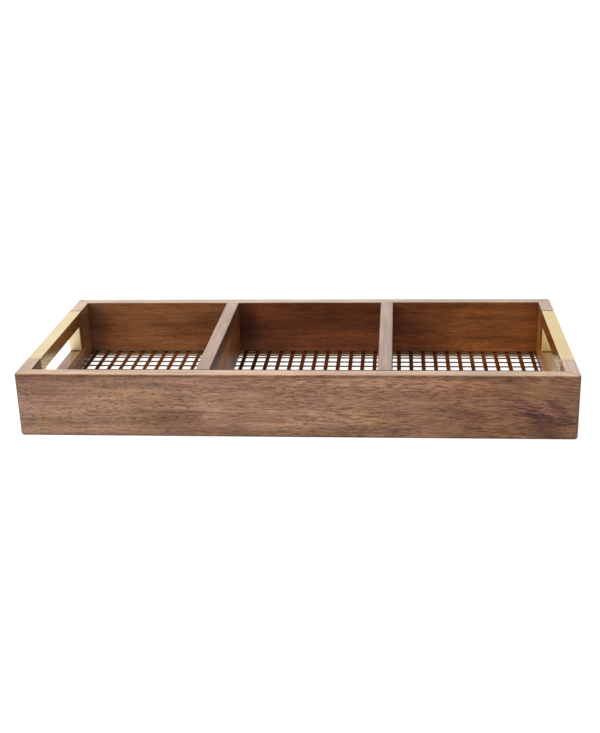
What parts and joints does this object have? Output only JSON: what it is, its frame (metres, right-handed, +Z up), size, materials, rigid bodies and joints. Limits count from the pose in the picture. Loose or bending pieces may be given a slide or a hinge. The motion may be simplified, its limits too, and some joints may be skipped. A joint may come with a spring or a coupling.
{
  "type": "compartment tray",
  "caption": "Rectangular wooden tray with upright dividers, a perforated brass floor sheet and brass grip handles set flush into its two ends.",
  "frame": {"origin": "on the table, below the middle of the tray", "axes": "+X along the long side, +Y from the front board to the back board, +Z up"},
  "size_m": [0.38, 0.172, 0.0456],
  "materials": {
    "board_wood": "clear satin lacquer over brown stained wood",
    "divider_wood": "clear satin lacquer over dark brown stained wood",
    "joint_wood": "raw pale wood, hidden inside the joints",
    "sheet_brass": "polished and lacquered sheet",
    "handle_brass": "polished and lacquered",
    "screw_steel": "bright zinc plate"
  },
  "bodies": {
    "root": {"front_board": "board_wood", "back_board": "board_wood", "left_end_board": "board_wood", "right_end_board": "board_wood", "front_left_corner_spline": "joint_wood", "back_left_corner_spline": "joint_wood", "front_right_corner_spline": "joint_wood", "back_right_corner_spline": "joint_wood", "divider_1": "divider_wood", "divider_2": "divider_wood", "divider_1_front_lower_dowel": "joint_wood", "divider_1_front_upper_dowel": "joint_wood", "divider_1_back_lower_dowel": "joint_wood", "divider_1_back_upper_dowel": "joint_wood", "divider_2_front_lower_dowel": "joint_wood", "divider_2_front_upper_dowel": "joint_wood", "divider_2_back_lower_dowel": "joint_wood", "divider_2_back_upper_dowel": "joint_wood", "perforated_floor_sheet": "sheet_brass", "left_handle": "handle_brass", "right_handle": "handle_brass", "left_handle_front_screw": "screw_steel", "left_handle_back_screw": "screw_steel", "right_handle_front_screw": "screw_steel", "right_handle_back_screw": "screw_steel"}
  },
  "joints": []
}
